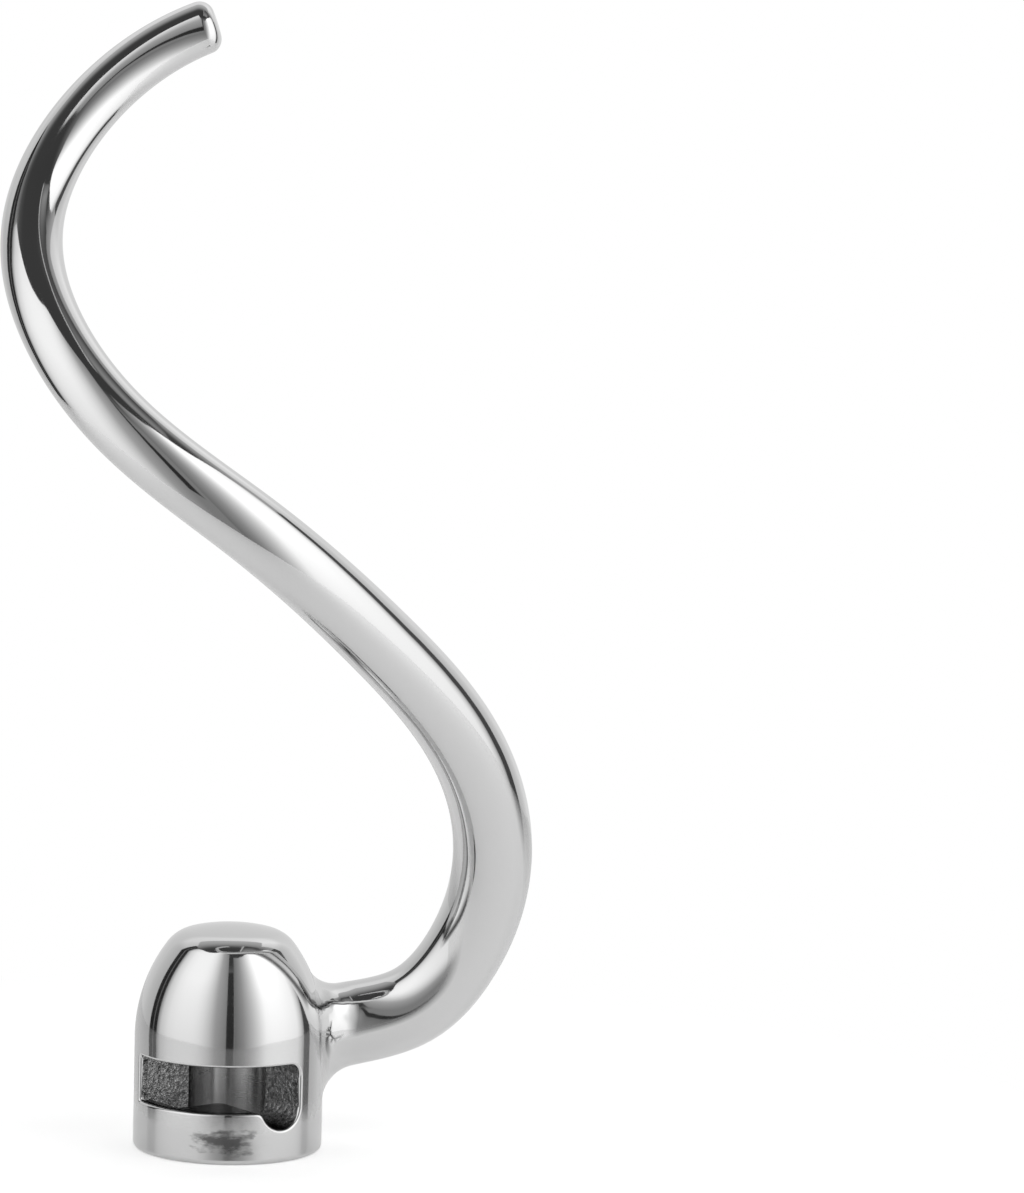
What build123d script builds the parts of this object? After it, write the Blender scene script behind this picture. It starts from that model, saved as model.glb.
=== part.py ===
from build123d import *
import os

os.makedirs("parts", exist_ok=True)

# One-piece spiral dough hook, sizes in mm.
# The origin is the centre of the bore's mouth and +Z runs up the bore towards the dome.
# -Y is the side with the window, +X is the side where the arm leaves the hub.

# Hub: a cylinder with a bowed shoulder and a flattened crown
hub_r = 15.6
hub_straight_h = 18.5
hub_h = 37.3
crown_edge_r = 9.2
crown_edge_h = 35.8
crown_round_r = 6.0
rim_edge_r = 0.9

# Bore for the drive shaft
shaft_d = 12.7
bore_clearance = 0.4
bore_r = (shaft_d + bore_clearance) / 2
bore_depth = 27.0
bore_lead_in = 0.4

# Way in, window and seat for the cross pin of the shaft.
# Turn angles start at +X and are counted seen from above.
keyway_turn = -144.5
pin_quarter_turn = 90.0
seat_turn = keyway_turn + pin_quarter_turn
keyway_w = 8.2
keyway_reach = 12.9
window_floor = 8.5
window_top = 16.2
window_corner_r = 2.2
window_edge_r = 0.45
seat_r = 3.7
seat_depth = 3.05
seat_shoulder_r = 1.2

# Arm: the middle of the round bar, from inside the hub wall to the tip
arm_path = [
    (7.0, 3.0, 16.0),
    (19.5, 7.5, 19.5),
    (30.5, 7.5, 23.0),
    (38.0, 6.5, 31.5),
    (42.5, 2.0, 45.5),
    (38.5, -10.5, 67.5),
    (23.0, -27.0, 88.5),
    (1.0, -41.5, 109.0),
    (-19.0, -42.0, 124.5),
    (-31.5, -32.0, 141.0),
    (-33.5, -18.0, 157.0),
    (-24.0, -8.5, 173.5),
    (-5.3, -5.0, 185.8),
]
arm_root_d = 14.8
arm_bend_d = 13.2
arm_tip_d = 8.6
arm_bend_length = 42.0
arm_taper_power = 1.25
arm_sections = 24
arm_root_fillet = 7.0
arm_tip_edge_r = 2.4


def arm_diameter(length, whole):
    """Bar diameter at a length along the arm: a slight flare at the root, then a taper."""
    if length < arm_bend_length:
        flare = (1 - length / arm_bend_length) ** 2
        return arm_bend_d + (arm_root_d - arm_bend_d) * flare
    run = (length - arm_bend_length) / (whole - arm_bend_length)
    return arm_bend_d - (arm_bend_d - arm_tip_d) * run**arm_taper_power


def nearest_edge(solid, point):
    """The edge of a solid that lies closest to a point."""
    return solid.edges().sort_by_distance(point)[0]


# Hub body, turned about the bore axis with its seam away from the arm
side = Polyline((0, 0), (hub_r, 0), (hub_r, hub_straight_h))
shoulder = TangentArc((hub_r, hub_straight_h), (crown_edge_r, crown_edge_h), tangent=(0, 1))
crown = TangentArc((0, hub_h), (crown_edge_r, crown_edge_h), tangent=(1, 0))
middle = Line((0, hub_h), (0, 0))
profile = make_face([*side.edges(), shoulder, crown, middle])
crown_corner = profile.vertices().sort_by_distance((crown_edge_r, crown_edge_h))[0]
profile = fillet(crown_corner, crown_round_r)
rim_corner = profile.vertices().sort_by_distance((hub_r, 0))[0]
profile = fillet(rim_corner, rim_edge_r)
hub = Rot(Z=180) * revolve(Plane.XZ * profile, Axis.Z)

# Arm: round sections set square to the path, each turned as little as possible from the one before,
# with a rounded edge at the tip
path = Spline(*arm_path)
across = Vector(0, 1, 0)
sections = []
for index in range(arm_sections + 1):
    share = index / arm_sections
    heading = path % share
    across = across - heading * across.dot(heading)
    plane = Plane(path @ share, x_dir=across, z_dir=heading)
    sections.append(plane * Circle(arm_diameter(share * path.length, path.length) / 2))
arm = sweep(sections, path=path, multisection=True)
tip_face = arm.faces().sort_by_distance(path @ 1)[0]
arm = fillet(tip_face.edges(), arm_tip_edge_r)

# Hub and arm in one, blended where they meet
body = hub + arm
body = fillet(new_edges(hub, arm, combined=body), arm_root_fillet)

# Bore, with a lead-in at the mouth and its seam on the side away from the window
on_floor = (Align.CENTER, Align.CENTER, Align.MIN)
bore = Rot(Z=seat_turn + pin_quarter_turn) * Cylinder(bore_r, bore_depth, align=on_floor)
lead_in = Cone(bore_r + bore_lead_in, bore_r, bore_lead_in, align=on_floor)

# Way in for the pin: a blind slot beside the bore, from the mouth up to the window
from_axis = (Align.MIN, Align.CENTER, Align.MIN)
keyway_plane = Plane.XY.rotated((0, 0, keyway_turn))
keyway = keyway_plane * Box(keyway_reach, keyway_w, window_top, align=from_axis)

# Window: the quarter that the pin sweeps, with both end walls parallel to the pin
far = 2 * hub_r
swept = Rectangle(far, keyway_w, align=(Align.MIN, Align.CENTER))
swept += Rectangle(far, far, align=(Align.MIN, Align.MIN))
window = keyway_plane * Pos(0, 0, window_floor) * extrude(swept, window_top - window_floor)

# Seat: a round trough that the pin drops into at the end of its turn
seat_plane = Plane.XY.rotated((0, 0, seat_turn))
seat_h = window_floor - seat_depth + seat_r
trough = Pos(0, 0, seat_h) * Rot(Y=90) * Cylinder(seat_r, far, align=on_floor)
above = Pos(0, 0, seat_h) * Box(far, 2 * seat_r, window_top - seat_h, align=from_axis)
window = window + seat_plane * (trough + above)
seat_shoulder = seat_plane.from_local_coords((far / 2, -seat_r, window_floor))
window = fillet(nearest_edge(window, seat_shoulder), seat_shoulder_r)
window_corner = seat_plane.from_local_coords((far / 2, seat_r, window_top))
window = fillet(nearest_edge(window, window_corner), window_corner_r)

# Cut everything out of the body, then round the window's edge on the outside
hook = body - bore - lead_in - keyway - window
outside = [
    edge
    for edge in hook.edges()
    if seat_h - seat_r - 0.1 < edge.center().Z < window_top + 0.1
    and all(abs(Vector(p.X, p.Y).length - hub_r) < 0.01 for p in (edge @ 0, edge @ 0.5, edge @ 1))
]
hook = fillet(outside, window_edge_r)

hook.label = "dough_hook"
export_step(hook, "parts/dough_hook.step")
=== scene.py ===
import math

import bpy
import numpy as np
from mathutils.geometry import delaunay_2d_cdt
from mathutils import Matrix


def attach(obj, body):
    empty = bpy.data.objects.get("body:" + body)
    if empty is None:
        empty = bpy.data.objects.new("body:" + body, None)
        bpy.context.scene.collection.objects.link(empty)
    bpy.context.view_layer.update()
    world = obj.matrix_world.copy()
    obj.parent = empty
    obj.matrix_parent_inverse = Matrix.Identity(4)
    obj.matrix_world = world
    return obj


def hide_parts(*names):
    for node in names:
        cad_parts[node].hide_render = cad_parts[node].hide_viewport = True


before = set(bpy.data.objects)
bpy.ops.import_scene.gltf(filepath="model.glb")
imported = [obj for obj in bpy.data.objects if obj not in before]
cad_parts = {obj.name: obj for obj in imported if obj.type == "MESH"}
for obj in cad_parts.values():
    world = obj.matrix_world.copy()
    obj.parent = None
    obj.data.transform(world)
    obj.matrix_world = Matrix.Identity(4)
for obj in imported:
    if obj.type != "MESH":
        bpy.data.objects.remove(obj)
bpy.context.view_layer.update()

# Sizes of the casting in mm, as in the part's source. Turn angles in degrees start at +X, seen from above.
MM = 0.001
HUB_R = 15.6
HUB_STRAIGHT_H = 18.5
HUB_H = 37.3
CROWN_EDGE_R = 9.2
CROWN_EDGE_H = 35.8
CROWN_ROUND_R = 6.0
RIM_EDGE_R = 0.9
BORE_R = 6.55
BORE_DEPTH = 27.0
BORE_LEAD_IN = 0.4
KEYWAY_TURN = -144.5
PIN_QUARTER_TURN = 90.0
SEAT_TURN = KEYWAY_TURN + PIN_QUARTER_TURN
KEYWAY_W = 8.2
KEYWAY_REACH = 12.9
WINDOW_FLOOR = 8.5
WINDOW_TOP = 16.2
WINDOW_CORNER_R = 2.2
WINDOW_EDGE_R = 0.45
SEAT_R = 3.7
SEAT_DEPTH = 3.05
SEAT_H = WINDOW_FLOOR - SEAT_DEPTH + SEAT_R
SEAT_SHOULDER_R = 1.2
ARM_STATIONS = np.array([
    (7.0, 3.0, 16.0), (19.5, 7.5, 19.5), (30.5, 7.5, 23.0), (38.0, 6.5, 31.5), (42.5, 2.0, 45.5),
    (38.5, -10.5, 67.5), (23.0, -27.0, 88.5), (1.0, -41.5, 109.0), (-19.0, -42.0, 124.5),
    (-31.5, -32.0, 141.0), (-33.5, -18.0, 157.0), (-24.0, -8.5, 173.5), (-5.3, -5.0, 185.8),
])
ARM_ROOT_D = 14.8
ARM_BEND_D = 13.2
ARM_TIP_D = 8.6
ARM_BEND_LENGTH = 42.0
ARM_TAPER_POWER = 1.25
ARM_ROOT_FILLET = 7.0
ARM_TIP_EDGE_R = 2.4

# How finely the casting is meshed: points along or round a form, rows across it, and steps in mm
CURVE_POINTS = 6001
ROUND_ARM = 112
ARM_ROW_MM = 0.9
BLEND_ROWS = 25
TIP_ROWS = 13
ROUND_HUB = 180
SHOULDER_ROWS = 41
CORNER_ROWS = 17
CROWN_ROWS = 21
RIM_ROWS = 9
SIDE_ROWS = 14
EDGE_ROWS = 9
EDGE_STEP_MM = 0.25
SEAT_SHOULDER_POINTS = 12
SEAT_POINTS = 40
WINDOW_CORNER_POINTS = 16

# Rows on the bar even out to rings over this share of it. Its slope is measured over this step in mm.
EVENING_SHARE = 0.25
SLOPE_STEP = 0.1

# How often the search for the blend's edge halves its range, and how often the window's outline is softened
ROOT_HALVINGS = 40
EDGE_SOFTENINGS = 3

# The seat's part of the window starts this many radians before the seat's middle line
SEAT_SPREAD = 0.3

# Free space round the window in the hub's sheet, and the length of the walls added to its edge
SHEET_MARGIN = 1.5 * EDGE_STEP_MM
WALL_START = 1.0

# How far the core and the cutters run past what is kept
CORE_EXTRA = 3.0
CUT_EXTRA = 1.0

# What counts as touching, as level and as one point, in mm, and as upright, by the rise of a face's normal
TOUCH = 0.05
LEVEL_RISE = 0.1
SAME_POINT = 1e-6
UPRIGHT_NORMAL = 0.5

# A step aside that gives a point on the bore's axis an outward direction
TINY = 1e-9

# Polishing lines are this many times longer than they are wide
RUN_STRETCH = 14.0

# Finishes, by their place in the casting's material list
POLISHED, AS_CAST, BORED = 0, 1, 2
FINISH_NAMES = ("polished_cast_stainless", "as_cast_stainless", "bored_stainless")

# Polished steel: waves, and hairlines with the values of their noise between which the roughness changes
WAVE_MM = 9.0
WAVE_DEPTH_MM = 0.04
HAIRLINE_MM = 0.55
HAIRLINE_DEPTH_MM = 0.0005
HAIRLINE_SPREAD = (0.3, 0.7)
POLISHED_COLOUR = "#D3D3D3"
POLISHED_ROUGHNESS = (0.045, 0.085)

# Dents where the root was dressed by hand, with their middle and reach in mm
DRESSING_MM = 3.3
DRESSING_DEPTH_MM = 0.45
DRESSING_PLACE = (17.2, -0.5, 22.5)
DRESSING_REACH_MM = 8.0

# The nick at the root, and the widths of its cut and of the painted shade in it as shares of its size
NICK_MM = 3.2
NICK_DEPTH_MM = 0.3
NICK_PLACE = (17.4, -1.0, 19.8)
NICK_REACH_MM = 2.1
NICK_WIDTH = 0.11
NICK_SHADE_WIDTH = 0.07
NICK_SHADE_AMOUNT = 2.0
# Colour of the painted shade in the nick's cuts
NICK_SHADE_COLOUR = "#2E2E2E"

# A duller patch on the rim, darkened with a painted reflection, with its middle and reach in mm
DULL_PATCH_PLACE = (-0.4, -15.6, 3.7)
DULL_PATCH_REACH_MM = (6.0, 6.0, 2.4)
# Colour of the painted dark reflection on the patch
PAINTED_REFLECTION_COLOUR = "#747474"
DULL_PATCH_ROUGHNESS = 0.25

# The patch's pattern as a share of its reach, how far it shifts the edge, and where the patch fades in
DULL_PATCH_PATTERN = 0.55
DULL_PATCH_RAGGED = 2.4
DULL_PATCH_FADE = (2.15, 1.55)

# Steel as cast: the sand's grain in mm, from hollows to peaks, and painted shade on faces that look up this
# far
SAND_MM = 0.7
SAND_DEPTH_MM = 0.34
SAND_SPREAD = (0.35, 0.68)
HOLLOW_COLOUR = "#7E7E7E"
PEAK_COLOUR = "#D2D2D2"
CAST_ROUGHNESS = 0.18
UP_SHADE_COLOUR = "#242424"
UP_SHADE_FACING = (0.85, 0.98)

# Bored steel: turning rings in mm, and how strongly they draw reflections out, a quarter turn from their run
TURNING_MM = 0.5
TURNING_DEPTH_MM = 0.004
BORED_COLOUR = "#CBCBCB"
BORED_ROUGHNESS = (0.22, 0.3)
RING_PULL = 0.95
RING_QUARTER_TURN = 0.25

# Studio: lit panels, each a row of posts with x, y and height in mm and a brightness, where 1 is white
PANELS = {
    "left_softbox": (
        (-260, 34, 330, 0.35), (-260, 4, 400, 0.95), (-260, -50, 445, 1.25), (-252, -100, 452, 1.34),
        (-228, -138, 456, 1.36), (-192, -162, 460, 1.36), (-160, -170, 462, 1.34), (-130, -170, 462, 1.26),
        (-108, -170, 458, 1.15), (-90, -170, 436, 1.0), (-75, -170, 418, 0.85), (-50, -170, 378, 0.52),
        (-11, -170, 335, 0.32),
    ),
    "right_softbox": (
        (18, -170, 300, 0.22), (50, -170, 305, 0.4), (92, -170, 330, 0.8), (144, -170, 390, 1.35),
        (170, -168, 415, 1.58), (205, -156, 440, 1.65), (236, -130, 450, 1.65), (256, -92, 440, 1.62),
        (260, -50, 425, 1.55), (260, 0, 400, 1.45), (260, 30, 370, 1.0), (260, 52, 340, 0.45),
    ),
    "backdrop": (
        (260, 112, 500, 0.85), (260, 300, 600, 1.15), (60, 300, 600, 1.0), (-260, 300, 600, 0.95),
        (-260, 108, 450, 0.75),
    ),
    "left_post": ((-264, 34, 420, 0.03), (-264, 108, 420, 0.03)),
    "left_post_edge": ((-262, 62, 400, 0.2), (-262, 70, 400, 0.2)),
    "right_post": ((264, 52, 300, 0.09), (264, 112, 300, 0.09)),
    "camera_stand": ((-75, -1000, 1500, 0.04), (95, -1000, 1500, 0.04)),
}

# Brightness of the panels by the share of their height. Their feet are a little below the table.
PANEL_FOOT = -0.1
PANEL_RISE = ((0.0, 0.82), (0.2, 0.9), (0.45, 1.0), (0.75, 1.0), (1.0, 0.95))
BACKDROP_RISE = ((0.0, 0.8), (0.45, 0.82), (0.62, 1.0), (1.0, 1.0))

# Canopy over the right side: its height in mm, and its brightness and its edge's by x and y in mm
CANOPY_H = 500
CANOPY_X = ((105, 0.5), (140, 0.9), (190, 1.0), (255, 0.8))
CANOPY_Y = ((-170, 0.2), (-115, 0.36), (-60, 0.25), (0, 0.12), (40, 0.08))
CANOPY_EDGE_X = ((90, 0.6), (105, 0.6))
CANOPY_EDGE_Y = ((-170, 1.0), (40, 1.0))

# Room round it all: its radius in mm, and its brightness by how far back and by how many degrees up it lies
ROOM_R = 1500
ROOM_DEPTH = ((-1.0, 0.05), (-0.1, 0.06), (0.0, 0.1), (0.13, 0.3), (0.25, 0.45), (0.45, 0.6))
ROOM_RISE = ((38, 0.28), (54, 0.05))

# Rows and columns of these panels
PANEL_GRID = (34, 96)
CANOPY_GRID = (48, 24)
ROOM_GRID = (72, 96)

# Table: its edges in mm, its white, and how strongly that glows for the camera and for the metal
TABLE_HALF_W = 260
TABLE_FRONT = -170
TABLE_BACK = 300
TABLE_COLOUR = "#F4F4F4"
TABLE_GLOW = 0.42
TABLE_GLOW_IN_METAL = 0.2

# Gloss of the table by the slant of sight, and its share and roughness where it is clouded or clear
GLOSS_COLOUR = "#E9E9E9"
GLOSS_SLANT = (0.55, 0.78)
GLOSS_SHARE = 0.85
CLOUDED_SHARE = 0.4
CLOUDED_ROUGHNESS = 0.32
CLEAR_ROUGHNESS = 0.1

# Where the cloud round the hook ends, the spot wiped in it, its pattern, and the shadow's end, in mm
CLEAR_REACH = (38.0, 56.0)
WIPED_PLACE = (0.0, -28.0, 0.0)
WIPED_REACH = (19.0, 11.0)
CLOUD_MM = 9.0
CLOUD_SHIFT = 12.0
SHADOW_REACH = (60.0, 150.0)

# Camera at the photograph's height, tilt and distance: metres, degrees, and mm for the lens and its sensor
CAMERA_PLACE = (0.0, -1.16964, 0.24968)
CAMERA_TURN = (82.36, -1.457, -2.0006)
CAMERA_LENS = 217.27
CAMERA_SENSOR = 36.0
CAMERA_REACH = 20.0

UP = np.array([0, 0, 1])


def linear(colour):
    """A colour written as sRGB hex, as the linear values that a shader takes."""
    shares = [int(colour[i:i + 2], 16) / 255 for i in (1, 3, 5)]
    return [s / 12.92 if s <= 0.04045 else ((s + 0.055) / 1.055) ** 2.4 for s in shares] + [1.0]


def metres(sizes):
    """Sizes given in mm, in metres."""
    return [size * MM for size in sizes]


def add(tree, kind, inputs=None, **settings):
    """Adds a node, sets its settings, and fills its inputs with values or with links from other nodes."""
    node = tree.nodes.new(kind)
    for name, value in settings.items():
        setattr(node, name, value)
    for name, value in (inputs or {}).items():
        if isinstance(value, bpy.types.NodeSocket):
            tree.links.new(value, node.inputs[name])
        else:
            node.inputs[name].default_value = value
    return node


def blank(owner):
    """The emptied node tree of a material or a world."""
    owner.use_nodes = True
    owner.node_tree.nodes.clear()
    return owner.node_tree


def placed(name, data):
    """A new object with this mesh or camera, put into the scene."""
    item = bpy.data.objects.new(name, data)
    bpy.context.scene.collection.objects.link(item)
    return item


def unit(vectors):
    """Vectors scaled to a length of one."""
    return vectors / np.linalg.norm(vectors, axis=-1, keepdims=True)


def swing(start, end, share):
    """Directions that turn evenly from start to end, one row for each share."""
    angle = np.arccos(np.clip(np.sum(start * end, axis=-1), -1, 1))[None, :, None]
    share = np.asarray(share)[:, None, None]
    return (np.sin((1 - share) * angle) * start + np.sin(share * angle) * end) / np.sin(angle)


def around(turn):
    """Level directions at turn angles in radians."""
    return np.stack([np.cos(turn), np.sin(turn), np.zeros_like(turn)], axis=-1)


def ahead_and_left(turn):
    """The level direction at a turn angle in degrees, and the one square to it on the left."""
    return around(np.radians([turn, turn + 90.0]))


def bar_run(length, turn):
    """Polishing coordinates in mm on the bar, drawn out along it."""
    across = ARM_BEND_D / 2 * around(turn)
    return np.stack(np.broadcast_arrays(length / RUN_STRETCH, across[..., 0], across[..., 1]), axis=-1)


def hub_run(points):
    """Polishing coordinates in mm on the hub, drawn out round it."""
    return points / [RUN_STRETCH, RUN_STRETCH, 1]


def arc(centre, radius, start, end, count):
    """Points on a circular arc between two angles in degrees, with the directions from its centre."""
    angle = np.radians(np.linspace(start, end, count))
    outward = np.stack([np.cos(angle), np.sin(angle)], axis=-1)
    return np.array(centre) + radius * outward, outward


def running_length(points):
    """The length of a line of points up to each of them."""
    return np.concatenate([[0], np.cumsum(np.linalg.norm(np.diff(points, axis=0), axis=1))])


class Casting:
    """Collects the patches of the casting: points, normals, faces, finishes and polishing coordinates."""

    def __init__(self):
        self.points, self.normals, self.runs = [], [], []
        self.faces, self.finishes, self.rounded = [], [], []
        self.count = 0

    def add(self, points, normals, runs, faces, finish=POLISHED):
        """Adds one patch, with only the points that its faces use.

        Faces are turned to agree with the normals. Without normals they are flat and stay as they are.
        """
        points = np.reshape(points, (-1, 3))
        rounded = normals is not None
        normals = np.reshape(normals, (-1, 3)) if rounded else np.zeros_like(points)
        runs = np.reshape(runs, (-1, 3))
        if rounded:
            a, b, c = (points[[f[i] for f in faces]] for i in range(3))
            meant = normals[[f[0] for f in faces]]
            if np.sum(np.cross(b - a, c - a) * meant) < 0:
                faces = [f[::-1] for f in faces]
        used = sorted({i for f in faces for i in f})
        place = {old: self.count + new for new, old in enumerate(used)}
        self.points.append(points[used])
        self.normals.append(normals[used])
        self.runs.append(runs[used])
        self.faces += [tuple(place[i] for i in f) for f in faces]
        self.finishes += [finish] * len(faces)
        self.rounded += [rounded] * len(faces)
        self.count += len(used)

    def mesh(self, name):
        """One mesh of all the patches, in metres, with the true normals of the curved ones."""
        points = np.concatenate(self.points) * MM
        mesh = bpy.data.meshes.new(name)
        mesh.from_pydata(points.tolist(), [], self.faces)
        mesh.polygons.foreach_set("material_index", self.finishes)
        mesh.polygons.foreach_set("use_smooth", self.rounded)
        corners = np.zeros(len(mesh.loops), dtype=np.int32)
        mesh.loops.foreach_get("vertex_index", corners)
        polish_run = mesh.attributes.new("polish_run", "FLOAT_VECTOR", "POINT")
        polish_run.data.foreach_set("vector", np.concatenate(self.runs).ravel())
        mesh.normals_split_custom_set(np.concatenate(self.normals)[corners].tolist())
        return mesh


def grid_faces(rows, columns, closed):
    """Four-sided faces between neighbouring rows. A closed grid joins its last column to its first."""
    faces = []
    for row in range(rows - 1):
        for column in range(columns if closed else columns - 1):
            ahead = (column + 1) % columns
            here, above = row * columns, (row + 1) * columns
            faces.append((here + column, here + ahead, above + ahead, above + column))
    return faces


# The arm's middle line: a smooth curve through the stations, with an even bend across each of them
chords = np.linalg.norm(np.diff(ARM_STATIONS, axis=0), axis=1)
knots = running_length(ARM_STATIONS)
last = len(knots) - 1
bends = np.zeros((last + 1, last + 1))
pulls = np.zeros((last + 1, 3))
for i in range(1, last):
    before, after = chords[i - 1], chords[i]
    bends[i, i - 1:i + 2] = 1 / before, 2 / before + 2 / after, 1 / after
    step_in = ARM_STATIONS[i] - ARM_STATIONS[i - 1]
    step_out = ARM_STATIONS[i + 1] - ARM_STATIONS[i]
    pulls[i] = 3 * step_in / before**2 + 3 * step_out / after**2
for end, four in ((0, slice(0, 4)), (last, slice(last - 3, last + 1))):
    bends[end, end] = 1
    pulls[end] = np.polyfit(knots[four] - knots[end], ARM_STATIONS[four], 3)[2]
slopes = np.linalg.solve(bends, pulls)
fine = np.linspace(0, knots[-1], CURVE_POINTS)
span = np.clip(np.searchsorted(knots, fine, side="right") - 1, 0, last - 1)
width = chords[span][:, None]
s = (fine - knots[span])[:, None] / width
curve = (1 + 2 * s) * (1 - s)**2 * ARM_STATIONS[span] + s**2 * (3 - 2 * s) * ARM_STATIONS[span + 1]
curve += width * s * (1 - s)**2 * slopes[span] - width * s**2 * (1 - s) * slopes[span + 1]
arm_run = running_length(curve)
arm_length = arm_run[-1]

# Two directions across the arm that turn as little as possible along it
arm_heading = unit(np.gradient(curve, arm_run, axis=0))
arm_across = np.zeros_like(curve)
across = np.array([0.0, 1.0, 0.0])
for i, heading in enumerate(arm_heading):
    across = unit(across - heading * (across @ heading))
    arm_across[i] = across
arm_beside = np.cross(arm_heading, arm_across)


def arm_radius(length):
    """The bar's radius at a length along the arm: a slight flare at the root, then a taper."""
    flare = ARM_BEND_D + (ARM_ROOT_D - ARM_BEND_D) * np.clip(1 - length / ARM_BEND_LENGTH, 0, 1) ** 2
    share = np.clip((length - ARM_BEND_LENGTH) / (arm_length - ARM_BEND_LENGTH), 0, 1)
    return (flare - (ARM_BEND_D - ARM_TIP_D) * share**ARM_TAPER_POWER) / 2


def on_arm(length, turn):
    """The middle of the arm, the heading and the outward direction at lengths and turns round the bar."""
    middle, heading, across, beside = (
        np.stack([np.interp(length, arm_run, rows[:, axis]) for axis in range(3)], axis=-1)
        for rows in (curve, arm_heading, arm_across, arm_beside)
    )
    outward = across * np.cos(turn)[..., None] + beside * np.sin(turn)[..., None]
    return middle, unit(heading), unit(outward)


def arc_radius(bend, run):
    """The radius of an arc that bends aside by one length over a run of the other."""
    return (bend**2 + run**2) / (2 * bend)


# The hub's outline in radius and height: shoulder and crown arcs with a rounded corner between them
shoulder_r = arc_radius(HUB_R - CROWN_EDGE_R, CROWN_EDGE_H - HUB_STRAIGHT_H)
crown_r = arc_radius(HUB_H - CROWN_EDGE_H, CROWN_EDGE_R)
shoulder_middle = np.array([HUB_R - shoulder_r, HUB_STRAIGHT_H])
crown_middle = np.array([0.0, HUB_H - crown_r])
gap = crown_middle - shoulder_middle
apart = np.linalg.norm(gap)
reach = shoulder_r - CROWN_ROUND_R
along = (reach**2 - (crown_r - CROWN_ROUND_R) ** 2 + apart**2) / (2 * apart)
aside = math.sqrt(reach**2 - along**2)
corner_middle = shoulder_middle + (along * gap + aside * np.array([-gap[1], gap[0]])) / apart
shoulder_end = math.degrees(math.atan2(*(corner_middle - shoulder_middle)[::-1]))
crown_start = math.degrees(math.atan2(*(corner_middle - crown_middle)[::-1]))


def hub_gap(points):
    """How far points are outside the hub's side and shoulder, and the nearest points there."""
    level = unit(points * [1, 1, 0])
    out = np.linalg.norm(points[..., :2], axis=-1)
    rise = np.maximum(points[..., 2] - HUB_STRAIGHT_H, 0)
    slant = np.hypot(out - shoulder_middle[0], rise)
    foot = level * (shoulder_middle[0] + shoulder_r * (out - shoulder_middle[0]) / slant)[..., None]
    foot[..., 2] = np.minimum(points[..., 2], HUB_STRAIGHT_H) + shoulder_r * rise / slant
    return slant - shoulder_r, foot


def rolled_out(points):
    """Points on the hub's skin as they lie on a rolled-out sheet: the distance round it and the height."""
    return np.stack([np.arctan2(points[..., 1], points[..., 0]) * HUB_R, points[..., 2]], axis=-1)


def inside(points, outline):
    """Which points of the rolled-out sheet lie inside a closed outline."""
    x, y = points[:, :1], points[:, 1:]
    x0, y0 = outline[:, 0], outline[:, 1]
    x1, y1 = np.roll(x0, -1), np.roll(y0, -1)
    crossing = (y0 > y) != (y1 > y)
    with np.errstate(divide="ignore", invalid="ignore"):
        left = x < (x1 - x0) * (y - y0) / (y1 - y0) + x0
    return np.sum(crossing & left, axis=1) % 2 == 1


casting = Casting()

# Root: a ball as big as the fillet rolls round the arm against the hub, and its track is the blend
turns = np.linspace(0, 2 * np.pi, ROUND_ARM, endpoint=False)
near, far = np.zeros(ROUND_ARM), np.full(ROUND_ARM, ARM_BEND_LENGTH)
for _ in range(ROOT_HALVINGS):
    root = (near + far) / 2
    middle, heading, outward = on_arm(root, turns)
    ball = middle + outward * (arm_radius(root) + ARM_ROOT_FILLET)[:, None]
    clear = hub_gap(ball)[0] > ARM_ROOT_FILLET
    near, far = np.where(clear, near, root), np.where(clear, root, far)
on_hub = hub_gap(ball)[1]
root_line = rolled_out(on_hub)
shares = np.linspace(0, 1, BLEND_ROWS)
directions = swing(unit(on_hub - ball), -outward, shares)
blend = ball + ARM_ROOT_FILLET * directions
blend_run = bar_run(np.outer(shares, root), turns)
casting.add(blend, -directions, blend_run, grid_faces(BLEND_ROWS, ROUND_ARM, True))

# Bar: rows that start along the edge of the blend and even out to plain rings
tip_start = arm_length - ARM_TIP_EDGE_R
rows = int(arm_length / ARM_ROW_MM)
row_share = np.linspace(0, 1, rows)[:, None]
even = np.clip(row_share / EVENING_SHARE, 0, 1)
first_ring = root.max()
lengths = (1 - row_share) * (root * (1 - even) + first_ring * even) + row_share * tip_start
bar_turns = np.broadcast_to(turns, lengths.shape)
middle, heading, outward = on_arm(lengths, bar_turns)
taper = (arm_radius(lengths + SLOPE_STEP) - arm_radius(lengths - SLOPE_STEP)) / (2 * SLOPE_STEP)
bar = middle + outward * arm_radius(lengths)[..., None]
bar_normal = unit(outward - heading * taper[..., None])
casting.add(bar, bar_normal, bar_run(lengths, bar_turns), grid_faces(rows, ROUND_ARM, True))

# Tip: a rounded edge and a flat end
curl = np.linspace(0, np.pi / 2, TIP_ROWS)[:, None]
tip_length = tip_start + ARM_TIP_EDGE_R * np.sin(curl) * np.ones(ROUND_ARM)
tip_turns = np.broadcast_to(turns, tip_length.shape)
middle, heading, outward = on_arm(tip_length, tip_turns)
tip_r = arm_radius(tip_start) - ARM_TIP_EDGE_R * (1 - np.cos(curl))
tip = middle + outward * tip_r[..., None]
tip_normal = outward * np.cos(curl)[..., None] + heading * np.sin(curl)[..., None]
casting.add(tip, tip_normal, bar_run(tip_length, tip_turns), grid_faces(TIP_ROWS, ROUND_ARM, True))
end_points = np.concatenate([tip[-1], curve[-1:]])
end_normal = np.broadcast_to(arm_heading[-1], end_points.shape)
end_faces = [(i, (i + 1) % ROUND_ARM, ROUND_ARM) for i in range(ROUND_ARM)]
casting.add(end_points, end_normal, end_points, end_faces)


def showing(skin, faces):
    """The faces of the hub's skin that aren't wholly hidden under the arm's root."""
    hidden = inside(rolled_out(np.reshape(skin, (-1, 3))), root_line)
    return [f for f in faces if not hidden[list(f)].all()]


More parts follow.
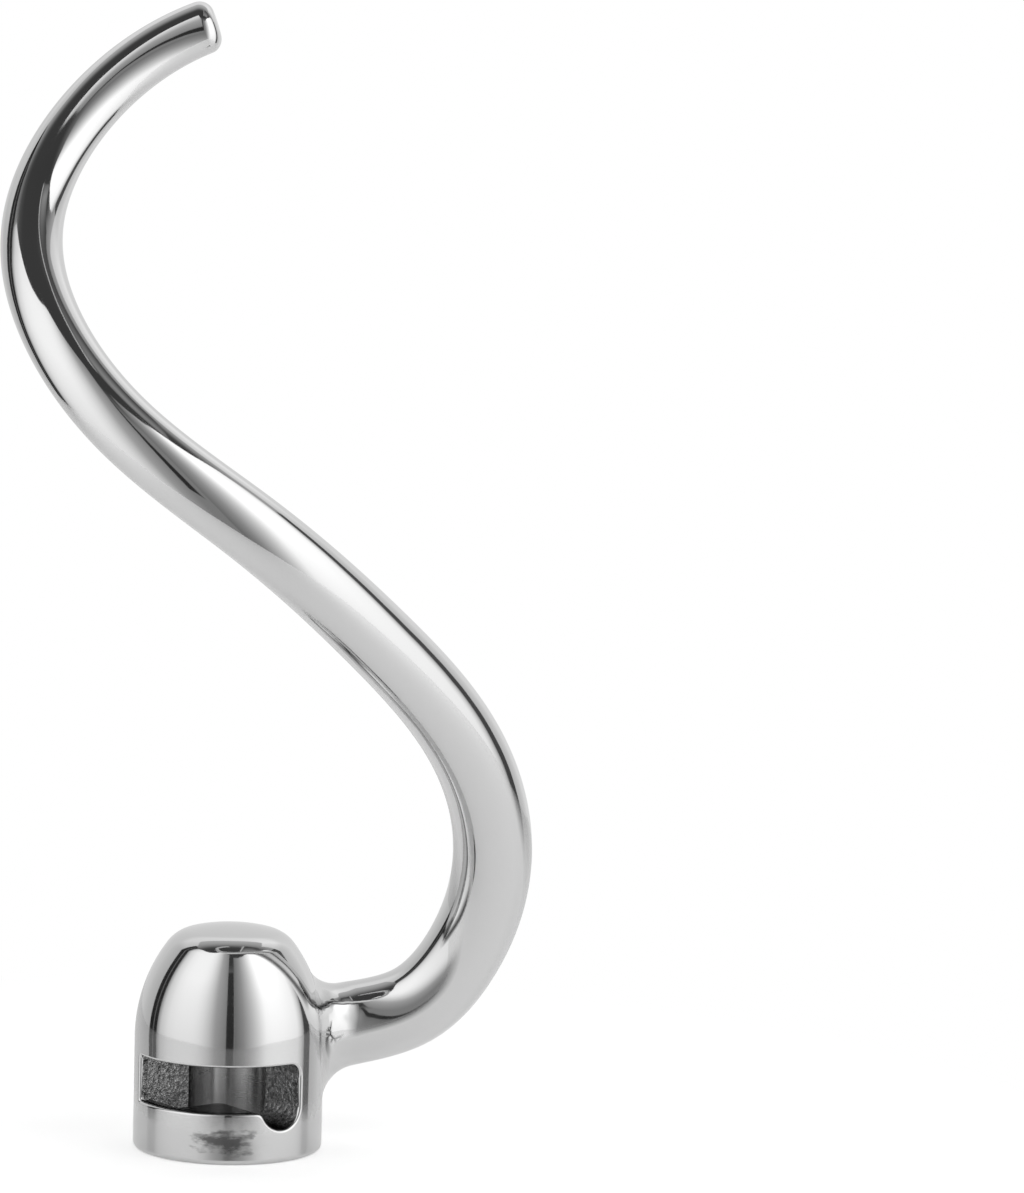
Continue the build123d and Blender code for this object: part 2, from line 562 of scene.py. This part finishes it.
# Shoulder, rounded corner and crown of the dome, and the rim's rounded edge, turned about the bore's axis
hub_arcs = (
    arc(shoulder_middle, shoulder_r, 0, shoulder_end, SHOULDER_ROWS),
    arc(corner_middle, CROWN_ROUND_R, shoulder_end, crown_start, CORNER_ROWS),
    arc(crown_middle, crown_r, crown_start, 90, CROWN_ROWS),
    arc((HUB_R - RIM_EDGE_R, RIM_EDGE_R), RIM_EDGE_R, -90, 0, RIM_ROWS),
)
hub_turns = np.linspace(-np.pi, np.pi, ROUND_HUB + 1)
hub_level = around(hub_turns)
for profile, slope in hub_arcs:
    skin = profile[:, None, :1] * hub_level + profile[:, None, 1:] * UP
    normal = slope[:, None, :1] * hub_level + slope[:, None, 1:] * UP
    skin_faces = grid_faces(len(profile), ROUND_HUB + 1, False)
    casting.add(skin, normal, hub_run(skin), showing(skin, skin_faces))

# Outline of the window on the hub's side, as lateral offset from the seat's middle line and height
shoulder_z = WINDOW_FLOOR - SEAT_SHOULDER_R
shoulder_y = -math.sqrt((SEAT_R + SEAT_SHOULDER_R) ** 2 - (SEAT_H - shoulder_z) ** 2)
lean = math.degrees(math.atan2(SEAT_H - shoulder_z, -shoulder_y))
corner_y, corner_z = SEAT_R - WINDOW_CORNER_R, WINDOW_TOP - WINDOW_CORNER_R
seat_outline = np.concatenate([
    arc((shoulder_y, shoulder_z), SEAT_SHOULDER_R, 90, lean, SEAT_SHOULDER_POINTS)[0],
    arc((0, SEAT_H), SEAT_R, lean - 180, 0, SEAT_POINTS)[0],
    arc((corner_y, corner_z), WINDOW_CORNER_R, 0, 90, WINDOW_CORNER_POINTS)[0],
])
seat_side = np.radians(SEAT_TURN) + np.arcsin(seat_outline[:, 0] / HUB_R)
keyway_side = np.radians(KEYWAY_TURN) - math.asin(KEYWAY_W / 2 / HUB_R)
window_corners = np.array([[keyway_side, WINDOW_TOP], [keyway_side, WINDOW_FLOOR]])
edge = np.concatenate([np.stack([seat_side, seat_outline[:, 1]], axis=-1), window_corners])

# Even steps round that outline, with corners softened as a polishing wheel leaves them
flat = edge * [HUB_R, 1]
loop = np.concatenate([flat, flat[:1]])
loop_run = running_length(loop)
steps = np.linspace(0, loop_run[-1], int(loop_run[-1] / EDGE_STEP_MM), endpoint=False)
outline = np.stack([np.interp(steps, loop_run, loop[:, axis]) for axis in range(2)], axis=-1)
for _ in range(EDGE_SOFTENINGS):
    outline = (np.roll(outline, 1, axis=0) + 2 * outline + np.roll(outline, -1, axis=0)) / 4
edge_turn, edge_z = outline[:, 0] / HUB_R, outline[:, 1]
skin_normal = around(edge_turn)
edge_point = HUB_R * skin_normal + edge_z[:, None] * UP
edge_heading = unit(np.roll(edge_point, -1, axis=0) - np.roll(edge_point, 1, axis=0))
away = np.cross(edge_heading, skin_normal)

# Where the walls lead in: along the seat, along the keyway, or from a level edge towards the bore's axis
upright = np.abs(edge_heading[:, 2:]) ** 2
on_seat = (edge_turn > np.radians(SEAT_TURN) - SEAT_SPREAD)[:, None]
wall_turn = np.where(on_seat, np.radians(SEAT_TURN), np.radians(KEYWAY_TURN))
straight_share = np.where(on_seat, 1, upright)
axis_share = np.where(on_seat, 0, 1 - upright)
wall = unit(around(wall_turn[:, 0]) * straight_share + skin_normal * axis_share)
inward = -unit(wall - edge_heading * np.sum(wall * edge_heading, axis=1, keepdims=True))

# Rounded edge of the window, and the start of its walls
opening = np.arccos(np.sum(away * inward, axis=1, keepdims=True)) / 2
edge_middle = edge_point + unit(away + inward) * WINDOW_EDGE_R / np.sin(opening)
skin_line = edge_point + away * WINDOW_EDGE_R / np.tan(opening)
wall_line = edge_point + inward * WINDOW_EDGE_R / np.tan(opening)
bow = swing(unit(skin_line - edge_middle), unit(wall_line - edge_middle), np.linspace(0, 1, EDGE_ROWS))
edge_rows = edge_middle + WINDOW_EDGE_R * bow
casting.add(edge_rows, bow, hub_run(edge_rows), grid_faces(EDGE_ROWS, len(outline), True))
wall_rows = np.stack([wall_line, wall_line + inward * WALL_START])
wall_normal = np.stack([bow[-1], bow[-1]])
casting.add(wall_rows, wall_normal, wall_rows, grid_faces(2, len(outline), True), AS_CAST)

# Side of the hub: a rolled-out sheet with the window cut from it
hole = rolled_out(skin_line)
sheet_z = np.linspace(RIM_EDGE_R, HUB_STRAIGHT_H, SIDE_ROWS)
sheet = np.stack(np.meshgrid(hub_turns * HUB_R, sheet_z), axis=-1).reshape(-1, 2)
spacing = np.min(np.linalg.norm(sheet[:, None] - hole[None], axis=2), axis=1)
sheet = sheet[~inside(sheet, hole) & (spacing > SHEET_MARGIN)]
rim = [(i, (i + 1) % len(hole)) for i in range(len(hole))]
sheet_points = np.concatenate([hole, sheet]).tolist()
whole_sheet = 0
flat_points, _, triangles, *_ = delaunay_2d_cdt(sheet_points, rim, [], whole_sheet, SAME_POINT)
flat_points = np.array([tuple(p) for p in flat_points])
triangles = np.array(triangles)
triangles = triangles[~inside(flat_points[triangles].mean(axis=1), hole)]
side_normal = around(flat_points[:, 0] / HUB_R)
side = HUB_R * side_normal + flat_points[:, 1:] * UP
casting.add(side, side_normal, hub_run(side), showing(side, triangles.tolist()))

finishes = [bpy.data.materials.new(name) for name in FINISH_NAMES]


def solid(name, rings, finish):
    """A closed solid from rings of points, each ring joined to the next and both ends filled."""
    columns = len(rings[0])
    first, final = range(columns), range((len(rings) - 1) * columns, len(rings) * columns)
    faces = grid_faces(len(rings), columns, True) + [tuple(first)[::-1], tuple(final)]
    mesh = bpy.data.meshes.new(name)
    mesh.from_pydata(np.concatenate(rings).tolist(), [], faces)
    for material in finishes:
        mesh.materials.append(material)
    mesh.polygons.foreach_set("material_index", [finish] * len(faces))
    return placed(name, mesh)


def turned(name, profile, finish):
    """A solid turned about the bore's axis from radii and heights."""
    return solid(name, [r * hub_level[:-1] + z * UP for r, z in profile], finish)


def upright_block(name, turn, plan, low, high):
    """A block with a plan drawn along and across a turn direction, between two heights."""
    ahead, left = ahead_and_left(turn)
    ring = np.array([ahead * x + left * y for x, y in plan])
    return solid(name, [ring + low * UP, ring + high * UP], AS_CAST)


# Inside of the hub: a core with the bore, the keyway, the window and the pin's seat cut out of it
core_r = HUB_R - RIM_EDGE_R
core = turned("core", [(core_r, 0), (core_r, BORE_DEPTH + CORE_EXTRA)], POLISHED)
mouth_r = BORE_R + BORE_LEAD_IN
bore_profile = [(mouth_r, -CUT_EXTRA), (mouth_r, 0), (BORE_R, BORE_LEAD_IN), (BORE_R, BORE_DEPTH)]
half, beyond = KEYWAY_W / 2, 2 * HUB_R
keyway_plan = [(0, -half), (KEYWAY_REACH, -half), (KEYWAY_REACH, half), (0, half)]
window_plan = [(0, -half), (beyond, -half), (beyond, beyond), (0, beyond)]
seat_ahead, seat_left = ahead_and_left(SEAT_TURN)
seat_shape = np.concatenate([seat_outline, [[shoulder_y, WINDOW_TOP]]])
seat_ring = seat_shape[:, :1] * seat_left + seat_shape[:, 1:] * UP
cutters = (
    turned("bore", bore_profile, BORED),
    upright_block("keyway", KEYWAY_TURN, keyway_plan, -CUT_EXTRA, (WINDOW_FLOOR + WINDOW_TOP) / 2),
    upright_block("window", KEYWAY_TURN, window_plan, WINDOW_FLOOR, WINDOW_TOP),
    solid("seat", [seat_ring, seat_ring + seat_ahead * beyond], AS_CAST),
)
for cutter in cutters:
    cut = core.modifiers.new(cutter.name, "BOOLEAN")
    cut.object = cutter
    cut.operation = "DIFFERENCE"
    cut.solver = "EXACT"
    cut.material_mode = "TRANSFER"
cavity = bpy.data.meshes.new_from_object(core.evaluated_get(bpy.context.evaluated_depsgraph_get()))
for piece in (core, *cutters):
    bpy.data.objects.remove(piece)
cavity_points = np.array([v.co for v in cavity.vertices])
cavity_out = np.hypot(cavity_points[:, 0], cavity_points[:, 1])
cavity_run = hub_run(cavity_points)


def on_core_skin(face):
    """Whether a face is on the core's own side or top, where the hub's side and dome stand instead."""
    corners = list(face.vertices)
    on_side = cavity_out[corners].min() > core_r - TOUCH and abs(face.normal.z) < UPRIGHT_NORMAL
    return on_side or cavity_points[corners, 2].min() > BORE_DEPTH + CUT_EXTRA


def is_level(corners):
    """Whether all corners of a face lie at one height."""
    return np.ptp(cavity_points[list(corners), 2]) < LEVEL_RISE


cut_faces = {finish: [] for finish in (POLISHED, AS_CAST, BORED)}
for face in cavity.polygons:
    if not on_core_skin(face):
        cut_faces[face.material_index].append(tuple(face.vertices))

# The bore's wall is smooth and round. Its end and all other cut faces are flat.
bore_end = [f for f in cut_faces[BORED] if is_level(f)]
bore_wall = [f for f in cut_faces[BORED] if not is_level(f)]
bore_normal = -unit(cavity_points * [1, 1, 0] + [TINY, 0, 0])
casting.add(cavity_points, None, cavity_run, cut_faces[POLISHED], POLISHED)
casting.add(cavity_points, None, cavity_run, cut_faces[AS_CAST], AS_CAST)
casting.add(cavity_points, None, cavity_run, bore_end, BORED)
casting.add(cavity_points, bore_normal, cavity_run, bore_wall, BORED)

hook = placed("hook_casting", casting.mesh("hook_casting"))
for material in finishes:
    hook.data.materials.append(material)
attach(hook, "root")
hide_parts("dough_hook")


def polished_steel(material):
    """Cast stainless steel polished on a wheel: a bright neutral mirror, a little wavy and finely scratched.

    The scratches are finer than a pixel, so they are drawn coarser. The root, where the wheel can't reach,
    was dressed by hand and shows dents and a nick with painted shade in its cuts. The rim has one duller
    patch, darkened with a painted reflection.
    """
    tree = blank(material)
    place = add(tree, "ShaderNodeTexCoord")
    run = add(tree, "ShaderNodeAttribute", attribute_name="polish_run")
    waves = add(tree, "ShaderNodeTexNoise", {
        "Vector": place.outputs["Object"], "Scale": 1 / (WAVE_MM * MM), "Detail": 1.0})
    dents = add(tree, "ShaderNodeTexNoise", {
        "Vector": place.outputs["Object"], "Scale": 1 / (DRESSING_MM * MM), "Detail": 0.5})
    hairlines = add(tree, "ShaderNodeTexNoise", {
        "Vector": run.outputs["Vector"], "Scale": 1 / HAIRLINE_MM, "Detail": 2.0})
    from_root = add(tree, "ShaderNodeVectorMath", {
        0: place.outputs["Object"], 1: metres(DRESSING_PLACE)}, operation="DISTANCE")
    near_root = add(tree, "ShaderNodeMapRange", {
        "Value": from_root.outputs["Value"], "From Min": DRESSING_REACH_MM * MM, "From Max": 0.0},
        interpolation_type="SMOOTHSTEP")
    cells = add(tree, "ShaderNodeTexVoronoi", {
        "Vector": place.outputs["Object"], "Scale": 1 / (NICK_MM * MM)}, feature="DISTANCE_TO_EDGE")
    cut = add(tree, "ShaderNodeMapRange", {"Value": cells.outputs["Distance"], "From Max": NICK_WIDTH})
    from_nick = add(tree, "ShaderNodeVectorMath", {
        0: place.outputs["Object"], 1: metres(NICK_PLACE)}, operation="DISTANCE")
    near_nick = add(tree, "ShaderNodeMapRange", {
        "Value": from_nick.outputs["Value"], "From Min": NICK_REACH_MM * MM, "From Max": 0.0})
    # Painted shade: the nick's cuts are darkened in colour near its middle
    nick_shade = add(tree, "ShaderNodeMapRange", {
        "Value": cells.outputs["Distance"], "From Min": NICK_SHADE_WIDTH, "From Max": 0.0,
        "To Max": NICK_SHADE_AMOUNT})
    shaded_nick = add(tree, "ShaderNodeMath", {
        0: nick_shade.outputs["Result"], 1: near_nick.outputs["Result"]}, operation="MULTIPLY", use_clamp=True)
    from_dull_patch = add(tree, "ShaderNodeVectorMath", {
        0: place.outputs["Object"], 1: metres(DULL_PATCH_PLACE)}, operation="SUBTRACT")
    dull_patch_shape = add(tree, "ShaderNodeVectorMath", {
        0: from_dull_patch.outputs["Vector"], 1: [1 / size for size in metres(DULL_PATCH_REACH_MM)]},
        operation="MULTIPLY")
    off_dull_patch = add(tree, "ShaderNodeVectorMath", {0: dull_patch_shape.outputs["Vector"]}, operation="LENGTH")
    patches = add(tree, "ShaderNodeTexNoise", {
        "Vector": dull_patch_shape.outputs["Vector"], "Scale": 1 / DULL_PATCH_PATTERN, "Detail": 3.0, "Roughness": 0.6})
    dull_patch_edge = add(tree, "ShaderNodeMath", {
        0: patches.outputs["Fac"], 1: DULL_PATCH_RAGGED, 2: off_dull_patch.outputs["Value"]},
        operation="MULTIPLY_ADD")
    dull_patch_and_reflection = add(tree, "ShaderNodeMapRange", {
        "Value": dull_patch_edge.outputs["Value"], "From Min": DULL_PATCH_FADE[0], "From Max": DULL_PATCH_FADE[1]})
    wavy = add(tree, "ShaderNodeBump", {
        "Height": waves.outputs["Fac"], "Distance": WAVE_DEPTH_MM * MM})
    dented = add(tree, "ShaderNodeBump", {
        "Height": dents.outputs["Fac"], "Strength": near_root.outputs["Result"],
        "Distance": DRESSING_DEPTH_MM * MM, "Normal": wavy.outputs["Normal"]})
    nicked = add(tree, "ShaderNodeBump", {
        "Height": cut.outputs["Result"], "Strength": near_nick.outputs["Result"],
        "Distance": NICK_DEPTH_MM * MM, "Normal": dented.outputs["Normal"]})
    scratched = add(tree, "ShaderNodeBump", {
        "Height": hairlines.outputs["Fac"], "Distance": HAIRLINE_DEPTH_MM * MM,
        "Normal": nicked.outputs["Normal"]})
    dull = add(tree, "ShaderNodeMapRange", {
        "Value": hairlines.outputs["Fac"],
        "From Min": HAIRLINE_SPREAD[0], "From Max": HAIRLINE_SPREAD[1],
        "To Min": POLISHED_ROUGHNESS[0], "To Max": POLISHED_ROUGHNESS[1]})
    patch_roughness = add(tree, "ShaderNodeMath", {
        0: dull_patch_and_reflection.outputs["Result"], 1: DULL_PATCH_ROUGHNESS, 2: dull.outputs["Result"]},
        operation="MULTIPLY_ADD")
    # Painted reflection: the duller patch on the rim is darkened in colour
    shade = add(tree, "ShaderNodeMix", {
        "Factor": dull_patch_and_reflection.outputs["Result"], "A": linear(POLISHED_COLOUR), "B": linear(PAINTED_REFLECTION_COLOUR)},
        data_type="RGBA")
    with_nick_shade = add(tree, "ShaderNodeMix", {
        "Factor": shaded_nick.outputs["Value"], "A": shade.outputs["Result"], "B": linear(NICK_SHADE_COLOUR)},
        data_type="RGBA")
    steel = add(tree, "ShaderNodeBsdfPrincipled", {
        "Base Color": with_nick_shade.outputs["Result"], "Metallic": 1.0, "Roughness": patch_roughness.outputs["Value"],
        "Normal": scratched.outputs["Normal"]})
    add(tree, "ShaderNodeOutputMaterial", {"Surface": steel.outputs["BSDF"]})


def as_cast_steel(material):
    """Stainless steel as it left the mould: grey, with the grain of its sand, and painted shade on faces
    that look up.
    """
    tree = blank(material)
    place = add(tree, "ShaderNodeTexCoord")
    sand = add(tree, "ShaderNodeTexNoise", {
        "Vector": place.outputs["Object"], "Scale": 1 / (SAND_MM * MM), "Detail": 3.0, "Roughness": 0.6})
    grainy = add(tree, "ShaderNodeBump", {"Height": sand.outputs["Fac"], "Distance": SAND_DEPTH_MM * MM})
    grain = add(tree, "ShaderNodeMapRange", {
        "Value": sand.outputs["Fac"], "From Min": SAND_SPREAD[0], "From Max": SAND_SPREAD[1]})
    shade = add(tree, "ShaderNodeMix", {
        "Factor": grain.outputs["Result"], "A": linear(HOLLOW_COLOUR), "B": linear(PEAK_COLOUR)},
        data_type="RGBA")
    skin = add(tree, "ShaderNodeNewGeometry")
    facing = add(tree, "ShaderNodeSeparateXYZ", {"Vector": skin.outputs["True Normal"]})
    # Painted shade: faces that look up, such as the window's floor, are darkened in colour
    looking_up = add(tree, "ShaderNodeMapRange", {
        "Value": facing.outputs["Z"], "From Min": UP_SHADE_FACING[0], "From Max": UP_SHADE_FACING[1]})
    up_shaded = add(tree, "ShaderNodeMix", {
        "Factor": looking_up.outputs["Result"], "A": shade.outputs["Result"], "B": linear(UP_SHADE_COLOUR)},
        data_type="RGBA")
    steel = add(tree, "ShaderNodeBsdfPrincipled", {
        "Base Color": up_shaded.outputs["Result"], "Metallic": 1.0, "Roughness": CAST_ROUGHNESS,
        "Normal": grainy.outputs["Normal"]})
    add(tree, "ShaderNodeOutputMaterial", {"Surface": steel.outputs["BSDF"]})


def bored_steel(material):
    """Stainless steel bored on a lathe: fine rings round its wall draw reflections out into upright bands.

    The rings are finer than a pixel, so they are drawn coarser.
    """
    tree = blank(material)
    run = add(tree, "ShaderNodeAttribute", attribute_name="polish_run")
    skin = add(tree, "ShaderNodeNewGeometry")
    ringwise = add(tree, "ShaderNodeVectorMath", {
        0: skin.outputs["Normal"], 1: (0.0, 0.0, 1.0)}, operation="CROSS_PRODUCT")
    rings = add(tree, "ShaderNodeTexNoise", {
        "Vector": run.outputs["Vector"], "Scale": 1 / TURNING_MM, "Detail": 2.0})
    ringed = add(tree, "ShaderNodeBump", {
        "Height": rings.outputs["Fac"], "Distance": TURNING_DEPTH_MM * MM})
    dull = add(tree, "ShaderNodeMapRange", {
        "Value": rings.outputs["Fac"], "To Min": BORED_ROUGHNESS[0], "To Max": BORED_ROUGHNESS[1]})
    steel = add(tree, "ShaderNodeBsdfPrincipled", {
        "Base Color": linear(BORED_COLOUR), "Metallic": 1.0, "Roughness": dull.outputs["Result"],
        "Anisotropic": RING_PULL, "Anisotropic Rotation": RING_QUARTER_TURN,
        "Tangent": ringwise.outputs["Vector"], "Normal": ringed.outputs["Normal"]})
    add(tree, "ShaderNodeOutputMaterial", {"Surface": steel.outputs["BSDF"]})


polished_steel(finishes[POLISHED])
as_cast_steel(finishes[AS_CAST])
bored_steel(finishes[BORED])


def lit_cloth(material):
    """White nylon cloth with a lamp behind it: a soft glow, as bright as its panel says at each point."""
    tree = blank(material)
    brightness = add(tree, "ShaderNodeAttribute", attribute_name="brightness")
    glow = add(tree, "ShaderNodeEmission", {"Strength": brightness.outputs["Fac"]})
    add(tree, "ShaderNodeOutputMaterial", {"Surface": glow.outputs["Emission"]})


cloth = bpy.data.materials.new("lit_nylon_diffuser")
lit_cloth(cloth)


def between(stops, places):
    """Brightness at these places, read between stops of place and brightness."""
    stop_places, stop_levels = zip(*stops)
    return np.interp(places, stop_places, stop_levels)


def lit_panel(name, points, brightness):
    """A panel from a grid of points in mm with their brightness. The camera looks through it."""
    mesh = bpy.data.meshes.new(name)
    mesh.from_pydata((points * MM).reshape(-1, 3).tolist(), [], grid_faces(*points.shape[:2], False))
    mesh.attributes.new("brightness", "FLOAT", "POINT").data.foreach_set("value", brightness.ravel())
    mesh.materials.append(cloth)
    panel = placed(name, mesh)
    panel.visible_camera = False


def standing_panel(name, posts, rise_stops):
    """A lit panel stretched from post to post."""
    along = np.linspace(0, len(posts) - 1, PANEL_GRID[1])
    x, y, height, level = (np.interp(along, np.arange(len(posts)), column) for column in zip(*posts))
    rise = np.linspace(PANEL_FOOT, 1, PANEL_GRID[0])[:, None]
    points = np.stack(np.broadcast_arrays(x, y, rise * height), axis=-1)
    lit_panel(name, points, level * between(rise_stops, rise))


def level_panel(name, x_stops, y_stops):
    """A lit panel overhead."""
    x = np.linspace(x_stops[0][0], x_stops[-1][0], CANOPY_GRID[1])
    y = np.linspace(y_stops[0][0], y_stops[-1][0], CANOPY_GRID[0])[:, None]
    points = np.stack(np.broadcast_arrays(x, y, CANOPY_H), axis=-1)
    lit_panel(name, points, between(x_stops, x) * between(y_stops, y))


for panel_name, panel_posts in PANELS.items():
    standing_panel(panel_name, panel_posts, BACKDROP_RISE if panel_name == "backdrop" else PANEL_RISE)
level_panel("canopy", CANOPY_X, CANOPY_Y)
level_panel("canopy_edge", CANOPY_EDGE_X, CANOPY_EDGE_Y)
room_turn, room_tilt = np.meshgrid(
    np.linspace(-np.pi, np.pi, ROOM_GRID[1]), np.linspace(-np.pi / 2, np.pi / 2, ROOM_GRID[0]))
toward = around(room_turn) * np.cos(room_tilt)[..., None] + np.sin(room_tilt)[..., None] * UP
from_back = between(ROOM_DEPTH, toward[..., 1])
from_above = between(ROOM_RISE, np.degrees(room_tilt))
lit_panel("dark_room", ROOM_R * toward, np.maximum(from_back, from_above))


def white_acrylic(material):
    """Glossy white acrylic sheet: white with the hook's shadow to the camera, and a mirror to the metal.

    At low angles the metal sees the panels mirrored in it. Round the hook the gloss is clouded, weak and
    blurred, apart from one wiped spot before the hub where it is strong. Further out it is clear. For the
    camera, the sheet fades to the background's white.
    """
    tree = blank(material)
    ray = add(tree, "ShaderNodeLightPath")
    metal_glow = add(tree, "ShaderNodeMath", {
        0: ray.outputs["Is Glossy Ray"], 1: TABLE_GLOW_IN_METAL}, operation="MULTIPLY")
    glow = add(tree, "ShaderNodeMath", {
        0: ray.outputs["Is Camera Ray"], 1: TABLE_GLOW, 2: metal_glow.outputs["Value"]},
        operation="MULTIPLY_ADD")
    body = add(tree, "ShaderNodeBsdfDiffuse", {"Color": linear(TABLE_COLOUR)})
    lift = add(tree, "ShaderNodeEmission", {"Strength": glow.outputs["Value"]})
    white_body = add(tree, "ShaderNodeAddShader", {0: body.outputs["BSDF"], 1: lift.outputs["Emission"]})
    slant = add(tree, "ShaderNodeLayerWeight", {"Blend": 0.5})
    mirror_share = add(tree, "ShaderNodeMapRange", {
        "Value": slant.outputs["Facing"], "From Min": GLOSS_SLANT[0], "From Max": GLOSS_SLANT[1],
        "To Max": GLOSS_SHARE})
    unseen = add(tree, "ShaderNodeMath", {0: 1.0, 1: ray.outputs["Is Camera Ray"]}, operation="SUBTRACT")
    spot = add(tree, "ShaderNodeNewGeometry")
    far_out = add(tree, "ShaderNodeVectorMath", {0: spot.outputs["Position"]}, operation="LENGTH")
    off_spot = add(tree, "ShaderNodeVectorMath", {
        0: spot.outputs["Position"], 1: metres(WIPED_PLACE)}, operation="DISTANCE")
    clouds = add(tree, "ShaderNodeTexNoise", {
        "Vector": spot.outputs["Position"], "Scale": 1 / (CLOUD_MM * MM), "Detail": 2.0})
    shift = add(tree, "ShaderNodeMath", {
        0: clouds.outputs["Fac"], 1: CLOUD_SHIFT * MM, 2: -CLOUD_SHIFT * MM / 2}, operation="MULTIPLY_ADD")
    cloudy_out = add(tree, "ShaderNodeMath", {
        0: far_out.outputs["Value"], 1: shift.outputs["Value"]}, operation="ADD")
    cloudy_spot = add(tree, "ShaderNodeMath", {
        0: off_spot.outputs["Value"], 1: shift.outputs["Value"]}, operation="ADD")
    clear_share = add(tree, "ShaderNodeMapRange", {
        "Value": cloudy_out.outputs["Value"],
        "From Min": CLEAR_REACH[0] * MM, "From Max": CLEAR_REACH[1] * MM, "To Min": CLOUDED_SHARE})
    wiped_share = add(tree, "ShaderNodeMapRange", {
        "Value": cloudy_spot.outputs["Value"],
        "From Min": WIPED_REACH[0] * MM, "From Max": WIPED_REACH[1] * MM})
    glossy = add(tree, "ShaderNodeMath", {
        0: clear_share.outputs["Result"], 1: wiped_share.outputs["Result"]}, operation="MAXIMUM")
    blur = add(tree, "ShaderNodeMapRange", {
        "Value": clear_share.outputs["Result"], "From Min": CLOUDED_SHARE,
        "To Min": CLOUDED_ROUGHNESS, "To Max": CLEAR_ROUGHNESS})
    gloss_share = add(tree, "ShaderNodeMath", {
        0: mirror_share.outputs["Result"], 1: glossy.outputs["Value"]}, operation="MULTIPLY")
    mirrored = add(tree, "ShaderNodeMath", {
        0: gloss_share.outputs["Value"], 1: unseen.outputs["Value"]}, operation="MULTIPLY")
    gloss = add(tree, "ShaderNodeBsdfGlossy", {
        "Color": linear(GLOSS_COLOUR), "Roughness": blur.outputs["Result"]})
    sheet_top = add(tree, "ShaderNodeMixShader", {
        "Fac": mirrored.outputs["Value"], 1: white_body.outputs["Shader"], 2: gloss.outputs["BSDF"]})
    fading = add(tree, "ShaderNodeMapRange", {
        "Value": far_out.outputs["Value"],
        "From Min": SHADOW_REACH[0] * MM, "From Max": SHADOW_REACH[1] * MM})
    white_out = add(tree, "ShaderNodeMath", {
        0: fading.outputs["Result"], 1: ray.outputs["Is Camera Ray"]}, operation="MULTIPLY")
    white = add(tree, "ShaderNodeEmission", {"Strength": 1.0})
    surface = add(tree, "ShaderNodeMixShader", {
        "Fac": white_out.outputs["Value"], 1: sheet_top.outputs["Shader"], 2: white.outputs["Emission"]})
    add(tree, "ShaderNodeOutputMaterial", {"Surface": surface.outputs["Shader"]})


acrylic = bpy.data.materials.new("glossy_white_acrylic")
white_acrylic(acrylic)
table_corners = [
    metres((-TABLE_HALF_W, TABLE_FRONT, 0)), metres((TABLE_HALF_W, TABLE_FRONT, 0)),
    metres((TABLE_HALF_W, TABLE_BACK, 0)), metres((-TABLE_HALF_W, TABLE_BACK, 0)),
]
table_mesh = bpy.data.meshes.new("table")
table_mesh.from_pydata(table_corners, [], [(0, 1, 2, 3)])
table_mesh.materials.append(acrylic)
table = placed("table", table_mesh)

# White background behind everything
world = bpy.data.worlds.new("white_studio")
bpy.context.scene.world = world
world_tree = blank(world)
background = add(world_tree, "ShaderNodeBackground", {"Color": linear("#FFFFFF"), "Strength": 1.0})
add(world_tree, "ShaderNodeOutputWorld", {"Surface": background.outputs["Background"]})

# Camera
camera = bpy.data.cameras.new("camera")
camera.sensor_width = CAMERA_SENSOR
camera.lens = CAMERA_LENS
camera.clip_end = CAMERA_REACH
view = placed("camera", camera)
view.location = CAMERA_PLACE
view.rotation_euler = [math.radians(angle) for angle in CAMERA_TURN]
bpy.context.scene.camera = view
bpy.context.scene.view_settings.view_transform = "Standard"
